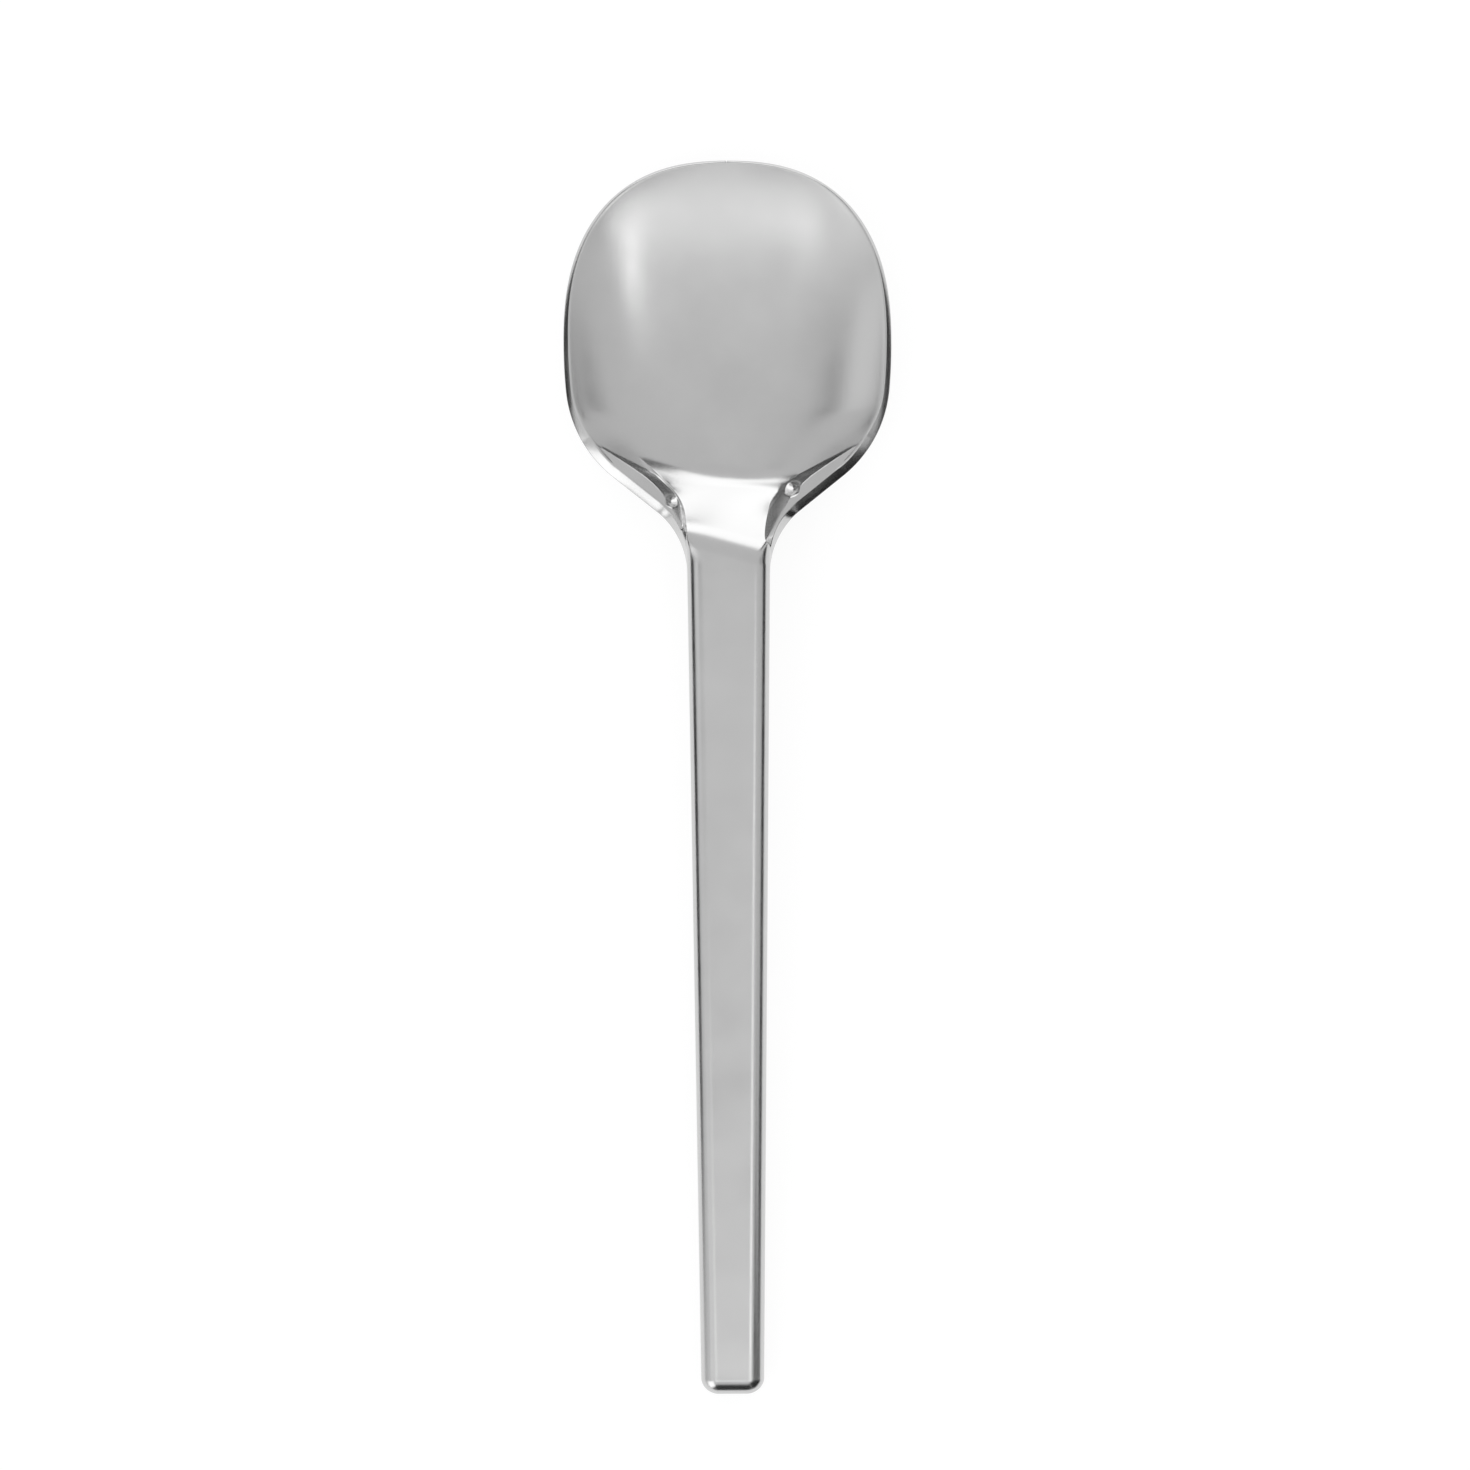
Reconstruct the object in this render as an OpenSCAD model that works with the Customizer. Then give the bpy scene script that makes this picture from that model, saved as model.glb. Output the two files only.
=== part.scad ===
// Espresso spoon, pressed and forged in one piece from stainless steel.
// A shallow round-tipped bowl meets a plain bar handle. At the neck the bar's top face
// runs down into the bowl as a ramp, with a steep flank on each side that rises to the rim.
// Millimetres. Y runs along the spoon towards the bowl's tip and Z is up, the spoon lies
// on Z = 0 on its bowl and the end of its handle, and X = 0 is its plane of symmetry.

/* [Overall] */
// Length from the handle's end to the bowl's tip
overall_length = 110; // [100:1:120]
// Part of the model to build

/* [Bowl outline] */
// Width of the bowl at its widest line
bowl_width = 29.3; // [27.5:0.1:32]
// Distance from the widest line to the tip
tip_reach = 16.4; // [14.5:0.1:19]
// Fullness of the tip's curve, where 2 is an ellipse and more is squarer
tip_fullness = 2.42; // [2.1:0.02:2.8]
// Radius of the bowl's nearly straight sides
side_radius = 44.5; // [38:0.5:60]
// Angle that each side turns through below the widest line
side_turn = 5.2; // [3.6:0.2:7]
// Radius of the shoulders, where the bowl turns in towards the neck
shoulder_radius = 11.2; // [10:0.1:12]
// Angle between the outline and the spoon's length where the shoulders end
shoulder_turn = 51.2; // [48:0.2:54]
// Radius of the hollow curve from the shoulders into the handle
neck_fillet = 7.04; // [6:0.1:8]

/* [Bowl section] */
// Thickness of the pressed sheet
sheet = 1.3; // [1.1:0.05:1.5]
// Depth by which the underside is pressed flat at its lowest place
base_flat = 0.18; // [0.14:0.01:0.25]
// Height of the rim's line at the sides, before its edge is cut
side_rim = 4.4; // [4.2:0.1:5]
// Height of the rim's line at the shoulders and the neck
neck_rim = 5; // [4.6:0.1:5.4]
// Height of the rim's line at the tip
tip_rim = 4; // [3.6:0.1:4.2]
// Length over which the bowl's floor rises to the tip
tip_rise = 22; // [20:0.5:24]
// Power of the floor's rise, where more keeps it flat for longer
tip_rise_power = 2.2; // [2:0.1:2.6]
// Power of the wall's curve at the sides, where more makes the floor flatter
side_wall_power = 3.1; // [2.7:0.1:3.5]
// Power of the wall's curve at the shoulders
neck_wall_power = 2.35; // [2.1:0.05:2.6]
// Steepest rise across the wall at the shoulders, as rise over run
neck_wall_slope = 0.95; // [0.85:0.01:1]
// Width of the rim's cut edge, seen from above, where the wall is steepest
rim_edge = 0.9; // [0.7:0.05:1]
// Height of the rim's cut edge
rim_height = 0.5; // [0.45:0.05:0.7]
// Power of the sheet's thinning towards the rim, where more keeps it thick for longer
rim_thinning = 5; // [4:0.5:7]
// Radius that softens both corners of the rim's edge
rim_arris = 0.13; // [0.08:0.01:0.18]

/* [Handle] */
// Width of the bar at the neck
neck_width = 7.36; // [6.8:0.02:8]
// Angle by which each side of the bar closes in towards the end, in degrees
bar_taper = 0.69; // [0.4:0.01:0.9]
// Thickness of the bar
bar_thickness = 3; // [2.8:0.05:3.4]
// Height of the bar's top face at the neck
neck_top = 6.1; // [5.9:0.05:6.5]
// Power of the bar's arch from the neck to the end, where 1 is straight
bar_arch = 1.2; // [1.1:0.05:2]
// Width of the rounding along the bar's edges, seen from above
edge_width = 1.6; // [1.3:0.05:1.8]
// Depth of the rounding along the bar's top edges
edge_depth = 1.3; // [1.1:0.05:1.35]
// Depth of the rounding along the bar's lower edges
under_edge_depth = 1.2; // [1:0.05:1.3]
// Length of the rounding at the bar's end
end_rounding = 1.45; // [1.2:0.05:1.8]

/* [Ramp] */
// Distance from the bowl's tip to the foot of the ramp
ramp_foot = 28; // [27.6:0.1:28.4]
// Slope of the ramp, as rise over run
ramp_slope = 0.8; // [0.76:0.01:0.84]
// Rounding where the bar's top face bends down, as a height
ramp_brow = 0.7; // [0.5:0.05:0.9]
// Rounding where the ramp runs out on the bowl's floor, as a height
ramp_toe = 0.6; // [0.4:0.05:0.8]
// Width and depth of the ramp's side edges
ramp_edge = 0.12; // [0.1:0.01:0.2]
// Slope of the bar's side faces where they run out beside the ramp, as drop over run
ramp_side_slope = 1; // [0.9:0.05:1.2]
// Rate at which the ramp widens towards its foot
ramp_flare = 1.1; // [1:0.02:1.2]
// Slope of the flanks beside the ramp, as rise over run
flank_slope = 1.4; // [1.2:0.05:1.6]
// Rate at which the flanks lie farther out than the ramp beyond its foot
flank_flare = 0.9; // [0.8:0.05:1.1]
// Rounding where the flanks pass into the rim's flat shoulder, as a height
flank_rounding = 0.5; // [0.4:0.05:0.6]
// Height of the rim's flat shoulder where the flanks begin
shoulder_height = 3.85; // [3.7:0.05:3.95]
// Rise of the flat shoulder from there to the neck
neck_lift = 1.35; // [1.25:0.05:1.45]
// Depth by which the shoulder dips to the bar's side
wing_dip = 1.2; // [1.1:0.05:1.4]

/* [Mesh] */
// Columns of the surface on each side of the middle
half_columns = 16; // [14:1:18]

/* [Hidden] */
COLUMNS = half_columns;
STEEL = [0.74, 0.74, 0.73];

// Places along the spoon
tip_y = overall_length / 2;
end_y = -tip_y;
wide_y = tip_y - tip_reach;
foot_y = tip_y - ramp_foot;
half_bowl = bowl_width / 2;
half_neck = neck_width / 2;

// Ends of the arcs that make up the outline, from the widest line to the neck
side_x = half_bowl - side_radius * (1 - cos(side_turn));
side_y = wide_y - side_radius * sin(side_turn);
shoulder_x = side_x - shoulder_radius * (cos(side_turn) - cos(shoulder_turn));
shoulder_y = side_y - shoulder_radius * (sin(shoulder_turn) - sin(side_turn));
fillet_x = half_neck + neck_fillet * (cos(bar_taper) - cos(shoulder_turn));
fillet_y = shoulder_y - (shoulder_x - fillet_x) / tan(shoulder_turn);
neck_y = fillet_y - neck_fillet * (sin(shoulder_turn) - sin(bar_taper));

// Heights
floor_z = sheet - base_flat;
round_y = end_y + end_rounding;

// Ranges along the spoon over which one form passes into the next
RIM_FALL = 21;
WALL_CHANGE = [foot_y, foot_y + 6];
EDGE_CHANGE = [neck_y + 0.8, neck_y + 3.8];
WING_CHANGE = [neck_y, neck_y + 3.5];
BELLY_CHANGE = [neck_y - 0.5, neck_y + 5];
BACK_RISE = [neck_y - 1.2, foot_y + 0.5];
BELLY_FADE = [foot_y - 2.5, foot_y + 1.5];
LIFT_CHANGE = [foot_y - 5, foot_y + 2];
FOOT_CHANGE = [foot_y - 4, foot_y];
TOE_CHANGE = [foot_y - 1.7, foot_y - 0.5];
BAND_CHANGE = [neck_y + 0.4, neck_y + 5.6];
COLUMN_BLEND_BOWL = [foot_y + 1, foot_y + 3.5];
COLUMN_BLEND_BAR = [neck_y, neck_y + 3.5];
FLARE_START = foot_y - 2.1;
FLARE_SOFT = 0.8;

// Radius on the bar's arrises, and the roundings of creases as heights
BAR_ARRIS = 0.06;
CREASE = 0.08;
WING_ROUNDING = 0.1;
DEPTH_ROUNDING = 0.3;
UNDER_ROUNDING = 0.3;
FLAT_ROUNDING = 0.06;

// Height by which the bar's back clears the bowl's underside once it has run out
BACK_CLEAR = 1.5;

function clamp01(t) = max(0, min(1, t));
function ease(range, v) =
    let (t = clamp01((v - range[0]) / (range[1] - range[0])))
    t * t * (3 - 2 * t);
function mix(a, b, t) = a + (b - a) * t;
function unit(v) = v / norm(v);

// The larger or the smaller of two heights, with the crease between them rounded
function soft_max(a, b, k) = max(a, b) + pow(max(k - abs(a - b), 0), 2) / (4 * k);
function soft_min(a, b, k) = -soft_max(-a, -b, k);

// Half width of the whole outline at y
function half_width(y) =
    y >= tip_y ? 0.001 :
    y >= wide_y ? half_bowl * pow(1 - pow((y - wide_y) / tip_reach, tip_fullness), 1 / tip_fullness) :
    y >= side_y ? half_bowl - side_radius + sqrt(pow(side_radius, 2) - pow(wide_y - y, 2)) :
    y >= shoulder_y ? let (s = sin(side_turn) + (side_y - y) / shoulder_radius)
        side_x - shoulder_radius * (cos(side_turn) - sqrt(1 - s * s)) :
    y >= fillet_y ? shoulder_x - (shoulder_y - y) * tan(shoulder_turn) :
    y >= neck_y ? let (s = sin(shoulder_turn) - (fillet_y - y) / neck_fillet)
        fillet_x - neck_fillet * (sqrt(1 - s * s) - cos(shoulder_turn)) :
    bar_half(y);

// Half width of the bar, and of the ramp that it turns into
function bar_half(y) = half_neck - (neck_y - y) * tan(bar_taper);
function ramp_half(y) =
    bar_half(y) + ramp_flare * FLARE_SOFT * ln(1 + exp((y - FLARE_START) / FLARE_SOFT));

// Side view of the bowl: its rim, its floor along the middle, and the depth between them
function rim_z(y) =
    mix(neck_rim, side_rim, ease(WALL_CHANGE, y))
    - (side_rim - tip_rim) * pow(clamp01(1 - (tip_y - y) / RIM_FALL), 2);
function middle_z(y) =
    floor_z + (tip_rim - floor_z) * pow(clamp01(1 - (tip_y - y) / tip_rise), tip_rise_power);
function wall_power(y) = mix(neck_wall_power, side_wall_power, ease(WALL_CHANGE, y));
function depth(y) =
    let (full = rim_z(y) - middle_z(y))
    y > wide_y ? full : soft_min(full, neck_wall_slope * half_width(y) / wall_power(y), DEPTH_ROUNDING);

// Upper surface of the bowl, carried on past its rim
function dish(x, y) =
    rim_z(y) - depth(y) * (1 - pow(abs(x) / half_width(y), wall_power(y)));

// Slope of the dish, and the width of the rim's edge that goes with a slope
function slope(x, y) =
    let (d = 0.02, z = dish(x, y))
    norm([(dish(abs(x) + d, y) - dish(abs(x) - d, y)) / (2 * d), (z - dish(x, y - d)) / d]);
function lean(m) = m * m / (1 + m * m);
function edge_run(m) = rim_edge * min(1, lean(m) / lean(neck_wall_slope));

// How far out a point lies, from 0 at the bowl's middle line to 1 on the outline
function outward(x, y) =
    let (across = abs(x) / half_bowl, along = (y - wide_y) / tip_reach)
    y <= wide_y ? min(1, abs(x) / half_width(y))
    : min(1, pow(pow(across, tip_fullness) + pow(along, tip_fullness), 1 / tip_fullness));

// Thickness of the bowl measured straight down, which leaves the rim's edge its height
function upright(x, y) =
    let (m = slope(x, y))
    mix(sheet * sqrt(1 + m * m), rim_height + m * edge_run(m), pow(outward(x, y), rim_thinning));

// Side view of the bar: its top face bends down into the ramp, and its back rises from the bowl
function bar_top(y) =
    neck_top - (neck_top - bar_thickness) * pow(clamp01((neck_y - y) / (neck_y - round_y)), bar_arch);
function bar_back(y) = (bar_top(y) - bar_thickness) * (1 - ease(BACK_RISE, y));

// Rise of the ramp's foot towards its sides, which keeps the line of the foot straight
function foot_rise(x, y) = (dish(x, y) - dish(0, y)) * ease(FOOT_CHANGE, y);

// Drop of a rounded edge, where q runs from 0 on the flat to 1 at the outside
function round_drop(q) = 1 - sqrt(max(0, 1 - q * q));
function end_share(y) = max(0, (round_y - y) / end_rounding);

// Upper surface of the bar and the ramp
function bar(x, y) =
    let (
        soft = ease(EDGE_CHANGE, y),
        wide = mix(edge_width, ramp_edge, soft),
        deep = mix(edge_depth, ramp_edge, soft),
        half = ramp_half(y),
        q = max(0, (min(abs(x), half) - half + wide) / wide)
    )
    soft_min(bar_top(y), floor_z + foot_rise(min(abs(x), half), y) + ramp_slope * (foot_y - y), ramp_brow)
    - deep * round_drop(norm([q, end_share(y)]))
    - ramp_side_slope * max(0, abs(x) - half);

// Lower surface of the bar
function bar_under(x, y) =
    let (half = bar_half(y), q = max(0, (min(abs(x), half) - half + edge_width) / edge_width))
    bar_back(y) + under_edge_depth * round_drop(norm([q, end_share(y)]))
    + BACK_CLEAR * ease(BELLY_FADE, y) + ramp_side_slope * max(0, abs(x) - half);

// Flank beside the ramp: it rises from the ramp's edge to the rim's flat shoulder
function lift(y) = neck_lift * (1 - ease(LIFT_CHANGE, y));
function flank_half(y) = ramp_half(y) + flank_flare * max(0, y - foot_y);
function flank_foot(y) =
    floor_z + ramp_slope * max(0, foot_y - y) + foot_rise(min(flank_half(y), half_width(y)), y);
function flank(x, y) =
    let (wall = flank_foot(y) + flank_slope * (abs(x) - flank_half(y)))
    soft_min(wall, shoulder_height + lift(y), flank_rounding);

// Upper surface of the bowl with its flanks, which dips to the bar's side
function wing(x, y) =
    soft_max(dish(x, y), flank(x, y), WING_ROUNDING) - wing_dip * (1 - ease(WING_CHANGE, y));

// The whole spoon's upper and lower surfaces
function top_z(x, y) =
    y <= neck_y ? bar(x, y) :
    soft_max(wing(x, y), bar(x, y), mix(CREASE, ramp_toe, ease(TOE_CHANGE, y)));
function bottom_z(x, y) =
    y <= neck_y - 0.5 ? bar_under(x, y) :
    let (
        joined = ease(BELLY_CHANGE, y),
        under = dish(x, y) + (lift(y + rim_height) - upright(x, y)) * joined + 1 - joined,
        belly = y >= BELLY_FADE[1] ? under : soft_min(under, bar_under(x, y), UNDER_ROUNDING)
    )
    soft_max(0, belly, FLAT_ROUNDING);

// Stations round the right half of the outline, each as [x, y, normal x, normal y].
// The tip's own curve first, then the arcs down to the neck, the bar, and its rounded end.
function arc_station(x, y, turn) = [x, y, cos(turn), -sin(turn)];
function tip_station(a) =
    let (
        x = half_bowl * pow(sin(a), 2 / tip_fullness),
        y = tip_reach * pow(cos(a), 2 / tip_fullness),
        nx = pow(x / half_bowl, tip_fullness - 1) / half_bowl,
        ny = pow(y / tip_reach, tip_fullness - 1) / tip_reach,
        n = unit([nx, ny])
    )
    [x, wide_y + y, n.x, n.y];
function steps(from, to, n) = [for (i = [1:n]) mix(from, to, i / n)];

stations = concat(
    [for (a = concat([0.2, 2, 5, 10], steps(14, 90, 13))) tip_station(a)],
    [for (y = steps(wide_y, side_y, 3)) arc_station(half_width(y), y, asin((wide_y - y) / side_radius))],
    [for (t = steps(side_turn, shoulder_turn, 15))
        let (y = side_y - shoulder_radius * (sin(t) - sin(side_turn))) arc_station(half_width(y), y, t)],
    [for (y = steps(shoulder_y, fillet_y, 7)) arc_station(half_width(y), y, shoulder_turn)],
    [for (t = steps(shoulder_turn, bar_taper, 12))
        let (y = fillet_y - neck_fillet * (sin(shoulder_turn) - sin(t))) arc_station(half_width(y), y, t)],
    [for (y = steps(neck_y, round_y, 11)) arc_station(bar_half(y), y, bar_taper)],
    [for (b = steps(0, 90, 6))
        let (y = round_y - end_rounding * sin(b), n = unit([cos(b) / edge_width, -sin(b) / end_rounding]))
        [bar_half(y) - edge_width * (1 - cos(b)), y, n.x, n.y]]
);

// Width of the rim's edge at a station, seen from above, which runs out at the neck
function band(s) =
    s.y <= neck_y ? 0 :
    edge_run(slope(s.x, s.y)) * clamp01((s.y - BAND_CHANGE[0]) / (BAND_CHANGE[1] - BAND_CHANGE[0]));

function on_top(p) = [p.x, p.y, top_z(p.x, p.y)];
function on_bottom(p) = [p.x, p.y, bottom_z(p.x, p.y)];

// Share of the half width at which column t of a station lies, so that the columns
// follow the bar's rounded edges, the ramp's edges and both ends of the flank's rounded top
function bar_share(t) =
    t < 0.2 ? mix(0, 1 - edge_width / half_neck, t / 0.2)
    : 1 - edge_width / half_neck * (1 - sin(90 * (t - 0.2) / 0.8));
function between(share, from, to) = max(from, min(to, share));
function ramp_share(t, y, half) =
    let (
        foot = min(1, flank_half(y) / half),
        crest = (flank_half(y) + (shoulder_height + lift(y) - flank_foot(y)) / flank_slope) / half,
        soft = flank_rounding / flank_slope / half,
        low = between(crest - soft, mix(foot, 1, 0.15), mix(foot, 1, 0.6)),
        high = between(crest + soft, mix(foot, 1, 0.35), mix(foot, 1, 0.8))
    )
    lookup(t, [[0, 0], [0.19, foot * 0.93], [0.25, foot], [0.56, low], [0.69, high], [1, 1]]);
function share(t, y, half) =
    y >= COLUMN_BLEND_BOWL[1] ? t :
    y <= COLUMN_BLEND_BAR[0] ? bar_share(t) :
    let (
        bowl = mix(min(ramp_share(t, y, half), 1), t, ease(COLUMN_BLEND_BOWL, y)),
        to_bar = 1 - ease(COLUMN_BLEND_BAR, y)
    )
    mix(bowl, bar_share(t), to_bar);

// One closed ring of points: top from left to right, right edge, bottom back, left edge
function mirrored(p) = [-p.x, p.y, p.z];
function ring(s) =
    let (
        p = [s[0], s[1]],
        n = [s[2], s[3]],
        r = s.y <= neck_y ? BAR_ARRIS : mix(BAR_ARRIS, rim_arris, ease(BAND_CHANGE, s.y)),
        inner = on_top(p - n * band(s)),
        outer = on_bottom(p),
        top_end = on_top(p - n * (band(s) + r)),
        bottom_end = on_bottom(p - n * r),
        along_top = unit(inner - top_end),
        along_edge = unit(outer - inner),
        along_bottom = unit(bottom_end - outer),
        bulge = r * (1 - sqrt(0.5)),
        edge = [
            inner - bulge * (along_top - along_edge),
            inner + r * along_edge,
            outer - r * along_edge,
            outer - bulge * (along_edge - along_bottom)
        ],
        top = [for (j = [1:COLUMNS])
            on_top([share(j / COLUMNS, top_end.y, top_end.x) * top_end.x, top_end.y])],
        bottom = [for (j = [1:COLUMNS])
            on_bottom([share(j / COLUMNS, bottom_end.y, bottom_end.x) * bottom_end.x, bottom_end.y])]
    )
    concat(
        [for (j = [COLUMNS - 1:-1:0]) mirrored(top[j])],
        [on_top([0, top_end.y])],
        top,
        edge,
        [for (j = [COLUMNS - 1:-1:0]) bottom[j]],
        [on_bottom([0, bottom_end.y])],
        [for (j = [0:COLUMNS - 1]) mirrored(bottom[j])],
        [for (j = [3:-1:0]) mirrored(edge[j])]
    );

// Skin between neighbouring rings, and a cap over the first and the last ring
ROW = 2 * COLUMNS + 1;
RING = 2 * ROW + 8;
function skin(rings) = [
    for (i = [0:rings - 2])
        for (j = [0:RING - 1])
            let (a = i * RING + j, b = i * RING + (j + 1) % RING)
            each [[a, b, b + RING], [a, b + RING, a + RING]]
];
function cap(first) = concat(
    [for (j = [0:ROW - 2])
        let (a = first + j, b = first + ROW + 4 + ROW - 1 - j)
        each [[a, b, b - 1], [a, b - 1, a + 1]]],
    [[for (j = [5:-1:0]) first + ROW - 1 + j]],
    [[for (j = [5:-1:0]) first + (2 * ROW + 3 + j) % RING]]
);
function reversed(faces) = [for (f = faces) [for (k = [len(f) - 1:-1:0]) f[k]]];

module spoon() {
    rings = [for (s = stations) ring(s)];
    color(STEEL)
    polyhedron(
        points = [for (r = rings) each r],
        faces = concat(skin(len(rings)), cap(0), reversed(cap((len(rings) - 1) * RING)))
    );
}

spoon();
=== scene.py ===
"""An espresso spoon in satin stainless steel, seen from straight above on a white table."""
import math

import bpy
import numpy as np
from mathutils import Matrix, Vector


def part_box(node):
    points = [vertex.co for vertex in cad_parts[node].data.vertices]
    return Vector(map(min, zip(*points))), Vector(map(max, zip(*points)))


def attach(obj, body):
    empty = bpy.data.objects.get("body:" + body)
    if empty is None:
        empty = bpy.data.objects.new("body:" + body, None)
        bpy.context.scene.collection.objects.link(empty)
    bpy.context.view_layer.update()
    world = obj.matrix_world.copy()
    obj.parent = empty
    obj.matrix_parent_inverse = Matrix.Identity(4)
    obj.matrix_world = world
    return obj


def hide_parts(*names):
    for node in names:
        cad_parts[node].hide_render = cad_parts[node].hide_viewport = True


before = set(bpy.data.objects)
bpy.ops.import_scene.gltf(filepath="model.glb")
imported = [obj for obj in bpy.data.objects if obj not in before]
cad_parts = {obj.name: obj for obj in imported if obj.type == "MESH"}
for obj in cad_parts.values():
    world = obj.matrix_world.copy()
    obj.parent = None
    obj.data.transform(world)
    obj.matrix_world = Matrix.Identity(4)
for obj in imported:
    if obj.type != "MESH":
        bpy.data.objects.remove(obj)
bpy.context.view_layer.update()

# The blank's outline
# The spoon is cut from one blank of 18/10 stainless steel. Its outline is a full rounded tip, nearly
# straight sides, shoulders that turn in, and hollow curves into a bar that tapers a little to its end.
low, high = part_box("spoon")

# Every size is in mm, with x to the right, y along the spoon to its tip, and z up from the table
MM = 0.001
TIP_Y = high.y / MM
END_Y = low.y / MM
TIP_REACH = 16.4
TIP_FULLNESS = 2.42
HALF_BOWL = 29.3 / 2
HALF_NECK = 7.36 / 2
SIDE_RADIUS = 44.5
SIDE_TURN = math.radians(5.2)
SHOULDER_RADIUS = 11.2
SHOULDER_TURN = math.radians(51.2)
NECK_FILLET = 7.04
BAR_TAPER = math.radians(0.69)
ALMOST_ONE = 1 - 1e-9

# The places where one arc of the outline ends and the next begins
WIDE_Y = TIP_Y - TIP_REACH
SIDE_X = HALF_BOWL - SIDE_RADIUS * (1 - math.cos(SIDE_TURN))
SIDE_Y = WIDE_Y - SIDE_RADIUS * math.sin(SIDE_TURN)
SHOULDER_X = SIDE_X - SHOULDER_RADIUS * (math.cos(SIDE_TURN) - math.cos(SHOULDER_TURN))
SHOULDER_Y = SIDE_Y - SHOULDER_RADIUS * (math.sin(SHOULDER_TURN) - math.sin(SIDE_TURN))
FILLET_X = HALF_NECK + NECK_FILLET * (math.cos(BAR_TAPER) - math.cos(SHOULDER_TURN))
FILLET_Y = SHOULDER_Y - (SHOULDER_X - FILLET_X) / math.tan(SHOULDER_TURN)
NECK_Y = FILLET_Y - NECK_FILLET * (math.sin(SHOULDER_TURN) - math.sin(BAR_TAPER))


def bar_half(y):
    """Half width of the bar at y."""
    return HALF_NECK - (NECK_Y - y) * math.tan(BAR_TAPER)


def half_width(y):
    """Half width of the whole outline at y."""
    past = np.clip((y - WIDE_Y) / TIP_REACH, 0, ALMOST_ONE)
    tip = HALF_BOWL * (1 - past**TIP_FULLNESS) ** (1 / TIP_FULLNESS)
    back = np.clip(WIDE_Y - y, 0, SIDE_RADIUS / 2)
    side = HALF_BOWL - SIDE_RADIUS + np.sqrt(SIDE_RADIUS**2 - back**2)
    sine = np.clip(math.sin(SIDE_TURN) + (SIDE_Y - y) / SHOULDER_RADIUS, 0, 1)
    shoulder = SIDE_X - SHOULDER_RADIUS * (math.cos(SIDE_TURN) - np.sqrt(1 - sine**2))
    straight = SHOULDER_X - (SHOULDER_Y - y) * math.tan(SHOULDER_TURN)
    sine = np.clip(math.sin(SHOULDER_TURN) - (FILLET_Y - y) / NECK_FILLET, 0, 1)
    fillet = FILLET_X - NECK_FILLET * (np.sqrt(1 - sine**2) - math.cos(SHOULDER_TURN))
    places = [y >= WIDE_Y, y >= SIDE_Y, y >= SHOULDER_Y, y >= FILLET_Y, y >= NECK_Y]
    return np.select(places, [tip, side, shoulder, straight, fillet], bar_half(y))


# The pressed bowl
# The blank's front is pressed out into a thin shallow dish with an almost flat floor, which rises to the
# tip in a long curve. Its sheet thins towards the rim, and the cut edge leans out and is polished round.
SHEET = 1.3
FLOOR = 1.12
SIDE_RIM = 4.4
NECK_RIM = 5.0
TIP_RIM = 4.0
TIP_RISE = 22
TIP_RISE_POWER = 2.2
RIM_FALL = 21
SIDE_WALL_POWER = 3.1
NECK_WALL_POWER = 2.35
NECK_WALL_SLOPE = 0.95
DEPTH_ROUNDING = 0.3
SLOPE_STEP = 0.02
RIM_EDGE = 0.9
RIM_HEIGHT = 0.42
RIM_THINNING = 5
RIM_ARRIS = 0.13
FOOT_Y = TIP_Y - 28
WALL_CHANGE = (FOOT_Y, FOOT_Y + 6)


def ease(start, end, v):
    """A share that runs smoothly from 0 to 1 as v goes from start to end."""
    t = np.clip((v - start) / (end - start), 0, 1)
    return t * t * (3 - 2 * t)


def mix(a, b, t):
    """The value between a and b at share t."""
    return a + (b - a) * t


def soft_max(a, b, k):
    """The larger of two heights, with the crease between them rounded over k."""
    return np.maximum(a, b) + np.maximum(k - np.abs(a - b), 0) ** 2 / (4 * k)


def soft_min(a, b, k):
    """The smaller of two heights, with the ridge between them rounded over k."""
    return -soft_max(-a, -b, k)


def rim_z(y):
    """Height of the rim's line at y."""
    fall = (SIDE_RIM - TIP_RIM) * np.clip(1 - (TIP_Y - y) / RIM_FALL, 0, 1) ** 2
    return mix(NECK_RIM, SIDE_RIM, ease(*WALL_CHANGE, y)) - fall


def dish(x, y):
    """Upper surface of the bowl, carried on past its rim."""
    rise = np.clip(1 - (TIP_Y - y) / TIP_RISE, 0, 1) ** TIP_RISE_POWER
    full = rim_z(y) - (FLOOR + (TIP_RIM - FLOOR) * rise)
    power = mix(NECK_WALL_POWER, SIDE_WALL_POWER, ease(*WALL_CHANGE, y))
    most = NECK_WALL_SLOPE * half_width(y) / power
    depth = np.where(y > WIDE_Y, full, soft_min(full, most, DEPTH_ROUNDING))
    return rim_z(y) - depth * (1 - (np.abs(x) / half_width(y)) ** power)


def slope(x, y):
    """Steepness of the dish, as rise over run."""
    d = SLOPE_STEP
    across = (dish(np.abs(x) + d, y) - dish(np.abs(x) - d, y)) / (2 * d)
    along = (dish(x, y) - dish(x, y - d)) / d
    return np.hypot(across, along)


def edge_width(m):
    """Width of the cut edge seen from above, which is wide where the wall is steep."""
    steepest = NECK_WALL_SLOPE**2 / (1 + NECK_WALL_SLOPE**2)
    return RIM_EDGE * np.minimum(1, m * m / (1 + m * m) / steepest)


def outward(x, y):
    """How far out a point lies, from 0 at the bowl's middle line to 1 on the outline."""
    across = np.abs(x) / HALF_BOWL
    along = np.clip((y - WIDE_Y) / TIP_REACH, 0, 1)
    round_tip = (across**TIP_FULLNESS + along**TIP_FULLNESS) ** (1 / TIP_FULLNESS)
    return np.minimum(1, np.where(y > WIDE_Y, round_tip, np.abs(x) / half_width(y)))


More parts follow.
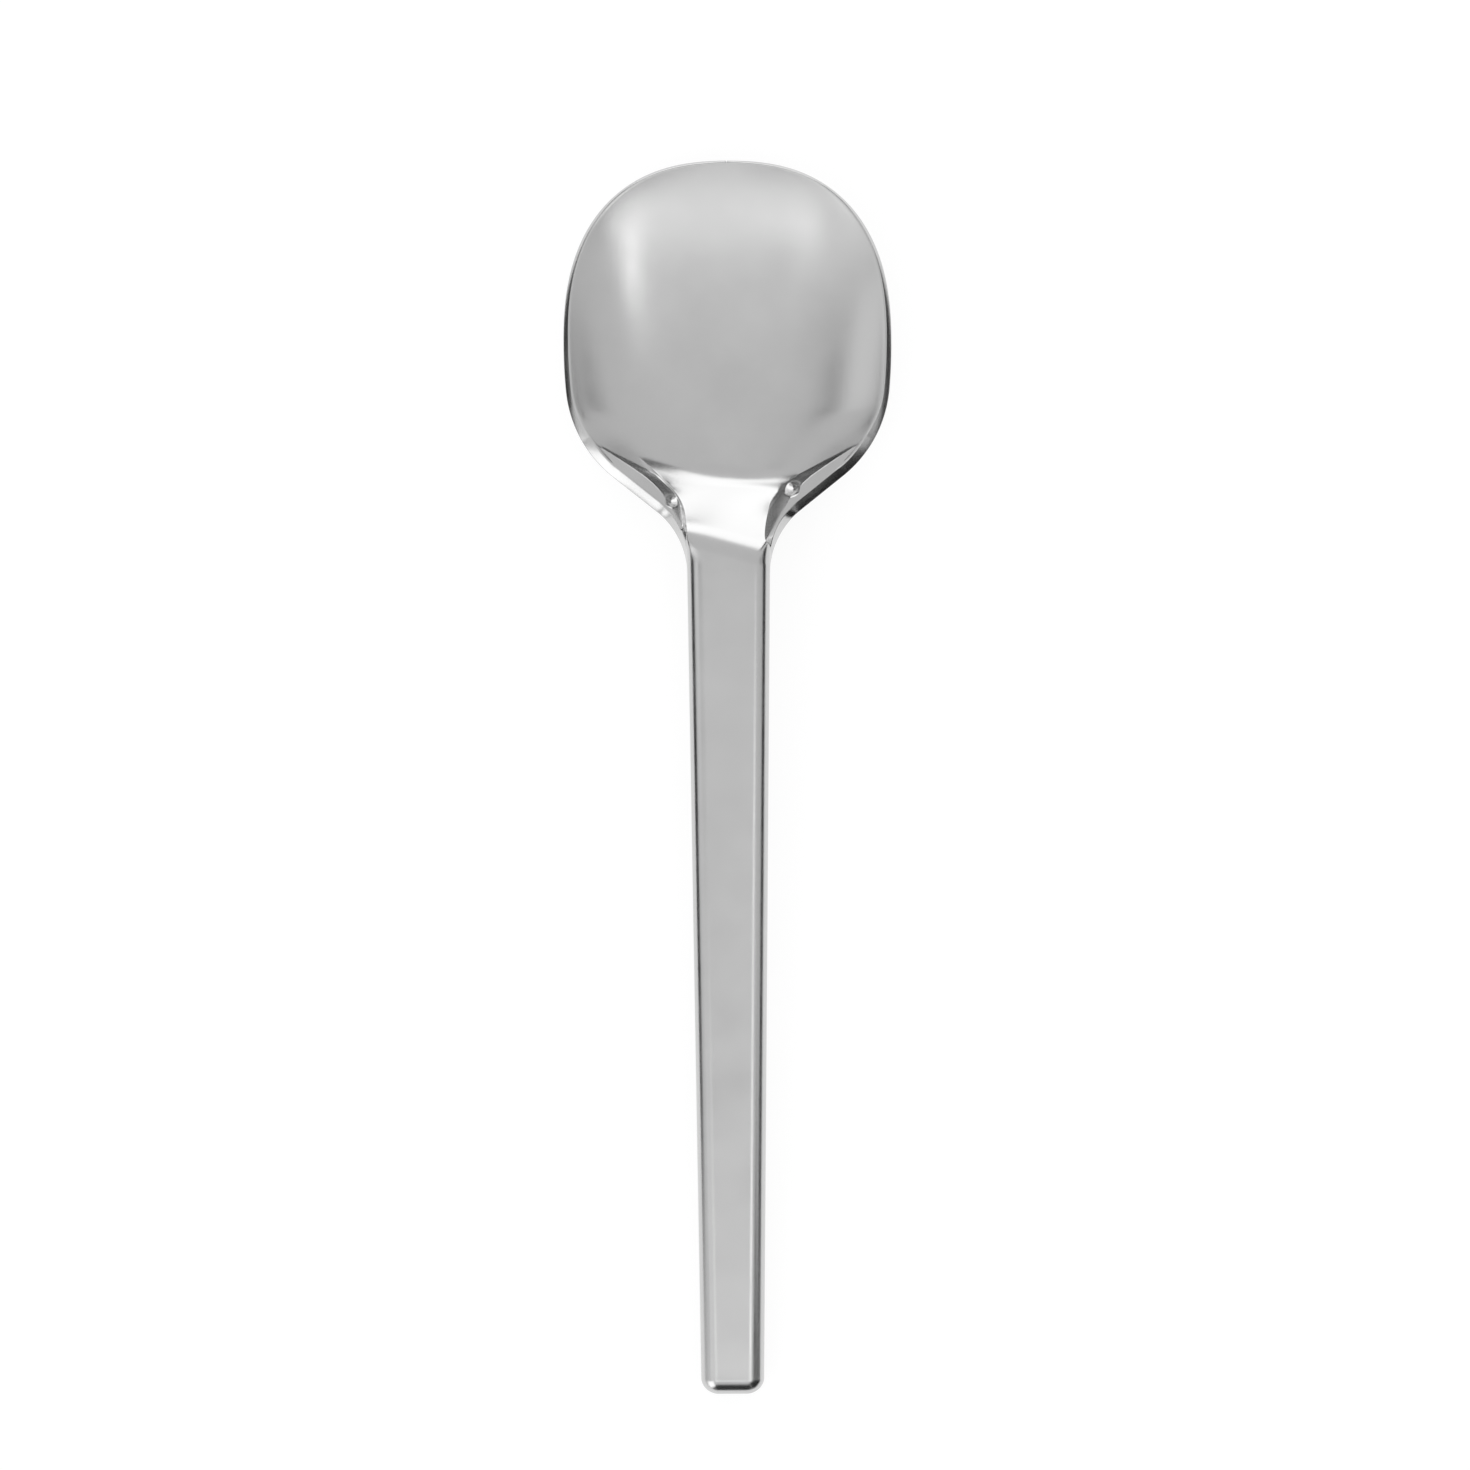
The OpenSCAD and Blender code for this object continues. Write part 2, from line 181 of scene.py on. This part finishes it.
def upright(x, y):
    """Thickness of the bowl measured straight down."""
    m = slope(x, y)
    at_rim = RIM_HEIGHT + m * edge_width(m)
    return mix(SHEET * np.sqrt(1 + m * m), at_rim, outward(x, y) ** RIM_THINNING)


# The bar and its ramp
# The rest of the blank stays a thick bar with rounded edges, arched a little along its length. At the
# neck its top face bends down into the bowl as a ramp, and both bends run a little askew, as pressed.
BAR_THICKNESS = 3.0
NECK_TOP = 6.1
BAR_ARCH = 1.2
BAR_ARRIS = 0.06
EDGE_WIDTH = 1.6
EDGE_DEPTH = 1.3
UNDER_EDGE_DEPTH = 1.2
END_ROUNDING = 1.45
ROUND_Y = END_Y + END_ROUNDING
RAMP_SLOPE = 0.8
RAMP_BROW = 1.0
RAMP_TOE = 0.85
RAMP_EDGE = 0.12
RAMP_SIDE_SLOPE = 1.0
RAMP_FLARE = 1.1
FLARE_BEFORE_FOOT = 2.1
FLARE_SOFT = 0.8
BROW_SKEW = 0.28
TOE_SKEW = 0.1
BACK_CLEAR = 1.5
EDGE_CHANGE = (NECK_Y + 0.8, NECK_Y + 3.8)
FOOT_CHANGE = (FOOT_Y - 4, FOOT_Y)
SKEW_START = (NECK_Y, NECK_Y + 1)
SKEW_CHANGE = (FOOT_Y - 5.5, FOOT_Y - 1.5)
BACK_RISE = (NECK_Y - 1.2, FOOT_Y + 0.5)
BELLY_FADE = (FOOT_Y - 2.5, FOOT_Y + 1.5)


def ramp_half(y):
    """Half width of the ramp, which widens towards its foot."""
    flare = FLARE_SOFT * np.log1p(np.exp((y - FOOT_Y + FLARE_BEFORE_FOOT) / FLARE_SOFT))
    return bar_half(y) + RAMP_FLARE * flare


def bar_top(y):
    """Height of the bar's top face along its middle line."""
    t = np.clip((NECK_Y - y) / (NECK_Y - ROUND_Y), 0, 1)
    return NECK_TOP - (NECK_TOP - BAR_THICKNESS) * t**BAR_ARCH


def round_drop(q):
    """Drop of a rounded edge, where q runs from 0 on the flat to 1 at the outside."""
    return 1 - np.sqrt(np.maximum(0, 1 - q * q))


def bar(x, y):
    """Upper surface of the bar and the ramp."""
    half = ramp_half(y)
    inside = np.minimum(np.abs(x), half)
    soft = ease(*EDGE_CHANGE, y)
    wide = mix(EDGE_WIDTH, RAMP_EDGE, soft)
    deep = mix(EDGE_DEPTH, RAMP_EDGE, soft)
    q = np.maximum(0, (inside - half + wide) / wide)
    end = np.maximum(0, (ROUND_Y - y) / END_ROUNDING)
    skew = mix(BROW_SKEW, TOE_SKEW, ease(*SKEW_CHANGE, y)) * ease(*SKEW_START, y)
    hollowed = (dish(inside, y) - dish(0, y)) * ease(*FOOT_CHANGE, y)
    ramp = FLOOR + hollowed + RAMP_SLOPE * (FOOT_Y - (y + x * skew))
    middle = soft_min(bar_top(y), ramp, RAMP_BROW)
    outside = np.maximum(0, np.abs(x) - half)
    return middle - deep * round_drop(np.hypot(q, end)) - RAMP_SIDE_SLOPE * outside


def bar_under(x, y):
    """Lower surface of the bar, which runs out on the underside of the bowl."""
    half = bar_half(y)
    q = np.maximum(0, (np.minimum(np.abs(x), half) - half + EDGE_WIDTH) / EDGE_WIDTH)
    end = np.maximum(0, (ROUND_Y - y) / END_ROUNDING)
    back = (bar_top(y) - BAR_THICKNESS) * (1 - ease(*BACK_RISE, y))
    fade = BACK_CLEAR * ease(*BELLY_FADE, y)
    edge = UNDER_EDGE_DEPTH * round_drop(np.hypot(q, end))
    return back + edge + fade + RAMP_SIDE_SLOPE * np.maximum(0, np.abs(x) - half)


# The neck's flanks
# Beside the ramp the sheet is pressed up in a steep flank to a flat shoulder of the rim, which rises to
# the neck and dips to the bar's side. The press has left one small dent in each flank.
FLANK_SLOPE = 1.4
FLANK_FLARE = 0.9
FLANK_ROUNDING = 0.2
SHOULDER_Z = 3.85
NECK_LIFT = 1.35
WING_DIP = 1.2
WING_ROUNDING = 0.1
LIFT_CHANGE = (FOOT_Y - 5, FOOT_Y + 2)
WING_CHANGE = (NECK_Y, NECK_Y + 3.5)

# Each dent's x, y, height and half width
DENTS = ((-4.92, 24.65, 3.6, 0.47), (5.6, 25.75, 2.85, 0.55))


def neck_lift(y):
    """Rise of the rim from the bowl to the neck, before it dips to the bar's side."""
    return NECK_LIFT * (1 - ease(*LIFT_CHANGE, y))


def flank(x, y):
    """Steep wall from the ramp's edges up to the rim, which it meets in a rounded top."""
    half = ramp_half(y) + FLANK_FLARE * np.maximum(0, y - FOOT_Y)
    hollowed = (dish(np.minimum(half, half_width(y)), y) - dish(0, y)) * ease(*FOOT_CHANGE, y)
    foot = FLOOR + RAMP_SLOPE * np.maximum(0, FOOT_Y - y) + hollowed
    wall = foot + FLANK_SLOPE * (np.abs(x) - half)
    return soft_min(wall, SHOULDER_Z + neck_lift(y), FLANK_ROUNDING)


def wing(x, y):
    """Upper surface of the bowl with the flanks beside the ramp, which dips to the bar's side."""
    dip = WING_DIP * (1 - ease(*WING_CHANGE, y))
    z = soft_max(dish(x, y), flank(x, y), WING_ROUNDING) - dip
    for dent_x, dent_y, dent_z, half in DENTS:
        near = np.exp(-(((x - dent_x) / half) ** 2 + ((y - dent_y) / half) ** 2) ** 2)
        z = mix(z, dent_z - RAMP_SLOPE * (y - dent_y), near)
    return z


# The spoon's skin
# Bowl, neck and bar are one piece of steel with one skin. It is a closed loft: at each station of the
# outline a ring of points runs over the top, round the right edge, back underneath and up the left edge.
CREASE = 0.05
HOLLOW_ROUNDING = 0.4
HOLLOW_SKEW = 0.11
HOLLOW_BEFORE_FOOT = 1.8
HOLLOW_LENGTH = 0.8
UNDER_ROUNDING = 0.3
FLAT_ROUNDING = 0.06
TOE_CHANGE = (FOOT_Y - 1.7, FOOT_Y - 0.5)
BELLY_CHANGE = (NECK_Y - 0.5, NECK_Y + 5)
EDGE_BAND = (NECK_Y + 0.4, NECK_Y + 5.6)


def top_z(x, y):
    """Upper surface of the whole spoon."""
    at_hollow = np.exp(-((y + HOLLOW_SKEW * x - FOOT_Y + HOLLOW_BEFORE_FOOT) / HOLLOW_LENGTH) ** 2)
    hollow = mix(CREASE, HOLLOW_ROUNDING, at_hollow)
    crease = mix(hollow, RAMP_TOE, ease(*TOE_CHANGE, y))
    return np.where(y <= NECK_Y, bar(x, y), soft_max(wing(x, y), bar(x, y), crease))


def bottom_z(x, y):
    """Lower surface of the whole spoon, which lies on the table in a flat place."""
    joined = ease(*BELLY_CHANGE, y)
    under = dish(x, y) + (neck_lift(y + RIM_HEIGHT) - upright(x, y)) * joined + 1 - joined
    with_bar = soft_min(under, bar_under(x, y), UNDER_ROUNDING)
    belly = np.where(y >= BELLY_FADE[1], under, with_bar)
    return np.where(y <= BELLY_CHANGE[0], bar_under(x, y), soft_max(0, belly, FLAT_ROUNDING))


# How finely the skin is cut: stations along the outline, and points round each ring
FIRST_TIP_ANGLES = [0.06, 0.3, 0.8, 1.6]
TIP_ANGLES = np.linspace(2.5, 90, 88)
SIDE_STEPS = 15
SHOULDER_STEPS = 71
STRAIGHT_STEPS = 31
FILLET_STEPS = 61
BAR_STEPS = 91
END_STEPS = 25
COLUMNS = 48
ARRIS_STEPS = 5
SAMPLES = 1200
TURN_SHARE = 0.35
SMOOTHING = 2
NEAR_MIDDLE = 1e-4


def stations():
    """Points round the right half of the outline, from tip to end, each as x, y, normal x, normal y."""
    a = np.radians(np.concatenate([FIRST_TIP_ANGLES, TIP_ANGLES]))
    x = HALF_BOWL * np.sin(a) ** (2 / TIP_FULLNESS)
    y = TIP_REACH * np.cos(a).clip(0) ** (2 / TIP_FULLNESS)
    n = np.stack([
        (x / HALF_BOWL) ** (TIP_FULLNESS - 1) / HALF_BOWL,
        (y / TIP_REACH) ** (TIP_FULLNESS - 1) / TIP_REACH,
    ])
    n = n / np.hypot(*n)
    parts = [np.stack([x, WIDE_Y + y, *n])]

    def arc(y, turn):
        parts.append(np.stack([half_width(y), y, np.cos(turn) + 0 * y, -np.sin(turn) + 0 * y]))

    y = np.linspace(WIDE_Y, SIDE_Y, SIDE_STEPS)[1:]
    arc(y, np.arcsin((WIDE_Y - y) / SIDE_RADIUS))
    turn = np.linspace(SIDE_TURN, SHOULDER_TURN, SHOULDER_STEPS)[1:]
    arc(SIDE_Y - SHOULDER_RADIUS * (np.sin(turn) - math.sin(SIDE_TURN)), turn)
    arc(np.linspace(SHOULDER_Y, FILLET_Y, STRAIGHT_STEPS)[1:], SHOULDER_TURN)
    turn = np.linspace(SHOULDER_TURN, BAR_TAPER, FILLET_STEPS)[1:]
    arc(FILLET_Y - NECK_FILLET * (math.sin(SHOULDER_TURN) - np.sin(turn)), turn)
    arc(np.linspace(NECK_Y, ROUND_Y, BAR_STEPS)[1:], BAR_TAPER)
    b = np.radians(np.linspace(0, 90, END_STEPS)[1:])
    y = ROUND_Y - END_ROUNDING * np.sin(b)
    n = np.stack([np.cos(b) / EDGE_WIDTH, -np.sin(b) / END_ROUNDING])
    parts.append(np.stack([bar_half(y) - EDGE_WIDTH * (1 - np.cos(b)), y, *(n / np.hypot(*n))]))
    return np.concatenate(parts, axis=1)


def band(x, y):
    """Width of the cut edge at each station, which runs out at the neck."""
    start, end = EDGE_BAND
    run = np.clip((y - start) / (end - start), 0, 1)
    return np.where(y <= NECK_Y, 0, edge_width(slope(x, y)) * run)


def row(surface, x, y, sign):
    """Points of one surface from the middle out to x, closer together where the surface turns."""
    share = np.linspace(0, 1, SAMPLES + 1)
    z = surface(sign * share * x[:, None], y[:, None] + 0 * share)
    angle = np.arctan(np.gradient(z, axis=1) * SAMPLES / x[:, None])
    weight = 1 / SAMPLES + TURN_SHARE * np.abs(np.gradient(angle, axis=1))
    total = np.cumsum(weight, axis=1)
    total = (total - total[:, :1]) / (total[:, -1:] - total[:, :1])
    even = np.linspace(0, 1, COLUMNS + 1)
    shares = np.array([np.interp(even, t, share) for t in total])
    padded = np.pad(shares, ((SMOOTHING, SMOOTHING), (0, 0)), mode="edge")
    window = 2 * SMOOTHING + 1
    shares = sum(padded[k:k + len(shares)] for k in range(window)) / window
    px = sign * shares * x[:, None]
    py = y[:, None] + 0 * px
    return np.stack([px, py, surface(px, py)], axis=-1)


def bend(start, corner, end):
    """Points along a rounded arris between start and end, drawn towards its corner."""
    t = np.linspace(0, 1, ARRIS_STEPS + 1)[1:][None, :, None]
    return (1 - t) ** 2 * start[:, None] + 2 * t * (1 - t) * corner[:, None] + t * t * end[:, None]


def half_ring(sign):
    """Top, edge and bottom points of every ring on one side, from the top's middle to the bottom's."""
    x, y, nx, ny = stations()
    wide = band(x, y)
    arris = np.where(y <= NECK_Y, BAR_ARRIS, mix(BAR_ARRIS, RIM_ARRIS, ease(*EDGE_BAND, y)))

    def point(surface, inset):
        px, py = sign * np.maximum(x - nx * inset, NEAR_MIDDLE), y - ny * inset
        return np.stack([px, py, surface(px, py)], axis=-1)

    inner, outer = point(top_z, wide), point(bottom_z, 0)
    top_end, bottom_end = point(top_z, wide + arris), point(bottom_z, arris)
    along = outer - inner
    along = along / np.linalg.norm(along, axis=1, keepdims=True) * arris[:, None]
    top = row(top_z, np.abs(top_end[:, 0]), top_end[:, 1], sign)
    bottom = row(bottom_z, np.abs(bottom_end[:, 0]), bottom_end[:, 1], sign)
    upper = bend(top_end, inner, inner + along)
    lower = bend(outer - along, outer, bottom_end)[:, :-1]
    middle = ((inner + outer) / 2)[:, None]
    return top, np.concatenate([upper, middle, (outer - along)[:, None], lower], axis=1), bottom


def spoon_rings():
    """Every ring of the skin, from the tip to the bar's end."""
    top, edge, bottom = half_ring(1)
    left_top, left_edge, left_bottom = half_ring(-1)
    return np.concatenate([
        left_top[:, :0:-1], top, edge, bottom[:, ::-1], left_bottom[:, 1:], left_edge[:, ::-1],
    ], axis=1)


def skin_faces(count, size):
    """Quads between the rings, and the two patches that close the skin at the tip and at the end."""
    i, j = np.meshgrid(np.arange(count - 1), np.arange(size), indexing="ij")
    a = i * size + j
    b = i * size + (j + 1) % size
    faces = np.stack([a, a + size, b + size, b], axis=-1).reshape(-1, 4).tolist()
    width = 2 * COLUMNS + 1
    side = (size - 2 * width) // 2
    for first, turned in ((0, False), ((count - 1) * size, True)):
        last = first + 2 * width + side - 1
        patch = [[first + k, first + k + 1, last - 1 - k, last - k] for k in range(width - 1)]
        patch.append([first + width - 1 + k for k in range(side + 2)])
        patch.append([first + (2 * width + side - 1 + k) % size for k in range(side + 2)])
        faces += [face[::-1] for face in patch] if turned else patch
    return faces


rings = spoon_rings()
mesh = bpy.data.meshes.new("spoon_body")
mesh.from_pydata((rings.reshape(-1, 3) * MM).tolist(), [], skin_faces(*rings.shape[:2]))
mesh.validate()
mesh.shade_smooth()
spoon = bpy.data.objects.new("spoon_body", mesh)
bpy.context.scene.collection.objects.link(spoon)
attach(spoon, "root")
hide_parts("spoon")

# Satin stainless steel
# 18/10 stainless steel, pressed and then polished with a fine cloth wheel. It is neutral grey and half
# glossy: it mirrors the room softly, a little blurred, with faint cloudy patches left by the wheel.
STEEL_LIGHT = "#D4D4D4"
STEEL_DARK = "#C8C8C8"
CLOUD_MM = 5
CLOUD_DETAIL = 3
CLOUD_CONTRAST = {"From Min": 0.3, "From Max": 0.7}
CLOUD_ROUGHNESS = {"To Min": 0.2, "To Max": 0.26}

# The wheel's marks are about a tenth of this width, which would be too fine to show
WHEEL_MARK_MM = 0.35
WHEEL_MARK_DETAIL = 4
WHEEL_MARK_STRETCH = (1, 0.12, 1)
WHEEL_MARK_DEPTH = 0.1 * MM
WHEEL_MARK_STRENGTH = 0.03


def linear(code):
    """The linear colour of an sRGB hex value."""
    parts = [int(code[k:k + 2], 16) / 255 for k in (1, 3, 5)]
    return [p / 12.92 if p <= 0.04045 else ((p + 0.055) / 1.055) ** 2.4 for p in parts] + [1]


def bare_material(name):
    """A new material that has no nodes yet, and its node tree."""
    material = bpy.data.materials.new(name)
    material.use_nodes = True
    material.node_tree.nodes.clear()
    return material, material.node_tree


def add(tree, kind, links=None, values=None, **settings):
    """Adds a node with its settings, input values and links to other nodes' outputs."""
    node = tree.nodes.new(kind)
    for name, value in settings.items():
        setattr(node, name, value)
    for name, value in (values or {}).items():
        node.inputs[name].default_value = value
    for name, source in (links or {}).items():
        tree.links.new(source, node.inputs[name])
    return node


steel, tree = bare_material("satin_stainless_steel")
place = add(tree, "ShaderNodeTexCoord").outputs["Object"]
clouds = add(
    tree, "ShaderNodeTexNoise", {"Vector": place},
    {"Scale": 1 / (CLOUD_MM * MM), "Detail": CLOUD_DETAIL},
)
stretched = add(tree, "ShaderNodeMapping", {"Vector": place}, {"Scale": WHEEL_MARK_STRETCH})
marks = add(
    tree, "ShaderNodeTexNoise", {"Vector": stretched.outputs["Vector"]},
    {"Scale": 1 / (WHEEL_MARK_MM * MM), "Detail": WHEEL_MARK_DETAIL},
)
tone = add(
    tree, "ShaderNodeMix", {"Factor": clouds.outputs["Fac"]},
    {"A": linear(STEEL_DARK), "B": linear(STEEL_LIGHT)}, data_type="RGBA",
)
rough = add(
    tree, "ShaderNodeMapRange", {"Value": clouds.outputs["Fac"]}, CLOUD_CONTRAST | CLOUD_ROUGHNESS,
)
bump = add(
    tree, "ShaderNodeBump", {"Height": marks.outputs["Fac"]},
    {"Strength": WHEEL_MARK_STRENGTH, "Distance": WHEEL_MARK_DEPTH},
)
shader = add(
    tree, "ShaderNodeBsdfPrincipled",
    {
        "Base Color": tone.outputs["Result"],
        "Roughness": rough.outputs["Result"],
        "Normal": bump.outputs["Normal"],
    },
    {"Metallic": 1},
)
add(tree, "ShaderNodeOutputMaterial", {"Surface": shader.outputs["BSDF"]})
mesh.materials.append(steel)

# The table
# The spoon lies on a smooth table top of white laminate. The laminate is white to the eye and in the
# steel, by its own colour and not by more light, and it keeps the spoon's faint shadow.
TABLE_SIZE = 3
TABLE_GLOW = 0.86
TABLE_WHITE = "#7A7A7A"
table_mesh = bpy.data.meshes.new("table_top")
h = TABLE_SIZE / 2
table_mesh.from_pydata([(-h, -h, 0), (h, -h, 0), (h, h, 0), (-h, h, 0)], [], [(0, 1, 2, 3)])
table_top = bpy.data.objects.new("table_top", table_mesh)
bpy.context.scene.collection.objects.link(table_top)
laminate, tree = bare_material("white_laminate")
ray = add(tree, "ShaderNodeLightPath").outputs
seen = add(
    tree, "ShaderNodeMath", {0: ray["Is Camera Ray"], 1: ray["Is Glossy Ray"]}, operation="MAXIMUM",
)
seen = add(
    tree, "ShaderNodeMath", {0: seen.outputs[0], 1: ray["Is Transmission Ray"]}, operation="MAXIMUM",
)
glow = add(tree, "ShaderNodeMath", {0: seen.outputs[0]}, {1: TABLE_GLOW}, operation="MULTIPLY")
white = add(tree, "ShaderNodeEmission", {"Strength": glow.outputs[0]})
matt = add(tree, "ShaderNodeBsdfDiffuse", values={"Color": linear(TABLE_WHITE)})
both = add(tree, "ShaderNodeAddShader", {0: white.outputs[0], 1: matt.outputs[0]})
add(tree, "ShaderNodeOutputMaterial", {"Surface": both.outputs[0]})
table_mesh.materials.append(laminate)

# Studio room
# The walls and the ceiling of the studio are painted a matt white and evenly lit. The steel mirrors them
# all round, which gives it its even middle grey.
ROOM = 0.7
world = bpy.data.worlds.new("studio")
bpy.context.scene.world = world
world.use_nodes = True
tree = world.node_tree
tree.nodes.clear()
room = add(tree, "ShaderNodeBackground", values={"Color": (1, 1, 1, 1), "Strength": ROOM})
add(tree, "ShaderNodeOutputWorld", {"Surface": room.outputs[0]})

# Soft boxes
# Lamps behind white cloth hang round the spoon, outside the picture. The large one beyond the tip shows
# in the ramp, and the others make the glow on the bowl's walls and the bright streak at its upper left.
AIM = Vector((0, 0.03, 0.003))
BOX_DISTANCE = 2


def hang(thing, across, along, distance):
    """Hangs a thing on a line from AIM that leans right and to the tip by these angles, facing AIM."""
    a, t = math.radians(across), math.radians(along)
    toward = Vector((math.sin(a) * math.cos(t), math.sin(t), math.cos(a) * math.cos(t)))
    thing.location = AIM + toward * distance
    thing.rotation_euler = (-t, a, 0)


def half_span(angle, distance):
    """Half the size of a thing that spans an angle at this distance."""
    return distance * math.tan(math.radians(angle / 2))


def soft_box(name, across, along, width, height, brightness, distance=BOX_DISTANCE):
    """An area light, with its place and its size in degrees as the bowl sees it."""
    light = bpy.data.lights.new(name, "AREA")
    light.shape = "RECTANGLE"
    light.size = 2 * half_span(width, distance)
    light.size_y = 2 * half_span(height, distance)
    light.energy = brightness * math.pi * light.size * light.size_y
    lamp = bpy.data.objects.new(name, light)
    hang(lamp, across, along, distance)
    lamp.visible_camera = False
    bpy.context.scene.collection.objects.link(lamp)


soft_box("tip_box", 0, 72, 60, 34, 1.0)
soft_box("front_box", 6, -19, 48, 5, 1.0)
soft_box("strip_box", 20, -11.5, 6, 12, 1.2)
soft_box("glow_box", 6, -7, 36, 12, 0.1, distance=0.5)
soft_box("side_box", -28, -18, 34, 16, 0.22)
soft_box("left_box", -48, 4, 18, 18, 0.2)
soft_box("low_left_box", -51, -40, 34, 34, 1.05)

# Black cards
# Stiff matt black card stands round the table, outside the picture. It shows only in the steel, as the
# dark lines along the rim and the handle's edges and the dark places on the flanks.
CARD_DISTANCE = 0.3
CARD_COLOUR = "#303030"
card_paint, tree = bare_material("black_card")
matt = add(tree, "ShaderNodeBsdfDiffuse", values={"Color": linear(CARD_COLOUR)})
add(tree, "ShaderNodeOutputMaterial", {"Surface": matt.outputs[0]})


def black_card(name, azimuth, spread, lean_top, lean_bottom=90):
    """A card at an azimuth, 0 at the tip and 90 at the right, that spans two leans from upright."""
    a = math.radians(azimuth)
    foot = CARD_DISTANCE / math.tan(math.radians(lean_bottom))
    head = CARD_DISTANCE / math.tan(math.radians(lean_top))
    middle = Vector((AIM.x + CARD_DISTANCE * math.sin(a), AIM.y + CARD_DISTANCE * math.cos(a), 0))
    side = Vector((math.cos(a), -math.sin(a), 0)) * half_span(spread, CARD_DISTANCE)
    card_mesh = bpy.data.meshes.new(name)
    corners = [middle - side, middle + side, middle + side, middle - side]
    heights = [foot, foot, head, head]
    card_mesh.from_pydata([(p.x, p.y, z) for p, z in zip(corners, heights)], [], [(0, 1, 2, 3)])
    card_mesh.materials.append(card_paint)
    card = bpy.data.objects.new(name, card_mesh)
    card.visible_camera = False
    card.visible_diffuse = False
    card.visible_shadow = False
    bpy.context.scene.collection.objects.link(card)


black_card("left_card", -82, 56, 65)
black_card("right_card", 88, 50, 62, 84)
black_card("front_right_card", 138, 44, 42)
black_card("tip_right_card", 35, 16, 54, 80)
black_card("tip_left_card", -35, 14, 58, 84)
black_card("end_card", 180, 36, 50, 88)

# Grey flags
# Two pieces of grey net hang above the bowl, outside the picture, and thin out to nothing at their rims.
# They show only in the steel, as the soft dim places on the bowl's walls.
FLAG_DISTANCE = 1.2
FLAG_COLOUR = "#CCCCCC"
FLAG_SOLID_FROM = 0.5
flag_cloth, tree = bare_material("grey_flag")
matt = add(tree, "ShaderNodeBsdfDiffuse", values={"Color": linear(FLAG_COLOUR)})
clear = add(tree, "ShaderNodeBsdfTransparent")
across = add(tree, "ShaderNodeTexCoord").outputs["Generated"]
centred = add(
    tree, "ShaderNodeMapping", {"Vector": across}, {"Location": (-1, -1, 0), "Scale": (2, 2, 0)},
)
round_fade = add(
    tree, "ShaderNodeTexGradient", {"Vector": centred.outputs["Vector"]}, gradient_type="QUADRATIC_SPHERE",
)
sheer = add(
    tree, "ShaderNodeMapRange", {"Value": round_fade.outputs["Fac"]}, {"From Max": FLAG_SOLID_FROM},
)
cloth_mix = add(
    tree, "ShaderNodeMixShader",
    {"Fac": sheer.outputs["Result"], 1: clear.outputs[0], 2: matt.outputs[0]},
)
add(tree, "ShaderNodeOutputMaterial", {"Surface": cloth_mix.outputs[0]})


def grey_flag(name, across, along, width, height):
    """A piece of grey net, with its place and its size in degrees as the bowl sees it."""
    w = half_span(width, FLAG_DISTANCE)
    h = half_span(height, FLAG_DISTANCE)
    cloth = bpy.data.meshes.new(name)
    cloth.from_pydata([(-w, -h, 0), (w, -h, 0), (w, h, 0), (-w, h, 0)], [], [(0, 1, 2, 3)])
    cloth.materials.append(flag_cloth)
    flag = bpy.data.objects.new(name, cloth)
    hang(flag, across, along, FLAG_DISTANCE)
    flag.visible_camera = False
    flag.visible_diffuse = False
    flag.visible_shadow = False
    bpy.context.scene.collection.objects.link(flag)


grey_flag("right_flag", -29, 8, 24, 20)
grey_flag("left_flag", 50, 9, 22, 20)

# The camera
# It hangs over the table and looks straight down through a long lens, turned a little askew. The size of
# a pixel and the photograph's middle place the spoon in the picture as it lies there.
PHOTO_PX = 1470
MM_PER_PX = 0.08914
PHOTO_MIDDLE_PX = (729.45, 778)
CAMERA_ROLL = -0.29
LENS = 135
MIDDLE_Z = 2.5
camera_data = bpy.data.cameras.new("camera")
camera_data.lens = LENS
camera = bpy.data.objects.new("camera", camera_data)
aim_x = (PHOTO_PX / 2 - PHOTO_MIDDLE_PX[0]) * MM_PER_PX
aim_y = (PHOTO_MIDDLE_PX[1] - PHOTO_PX / 2) * MM_PER_PX
reach = PHOTO_PX * MM_PER_PX * LENS / camera_data.sensor_width
camera.location = Vector((aim_x, aim_y, MIDDLE_Z + reach)) * MM
camera.rotation_euler = (0, 0, math.radians(CAMERA_ROLL))
bpy.context.scene.collection.objects.link(camera)
bpy.context.scene.camera = camera
bpy.context.scene.view_settings.view_transform = "Standard"
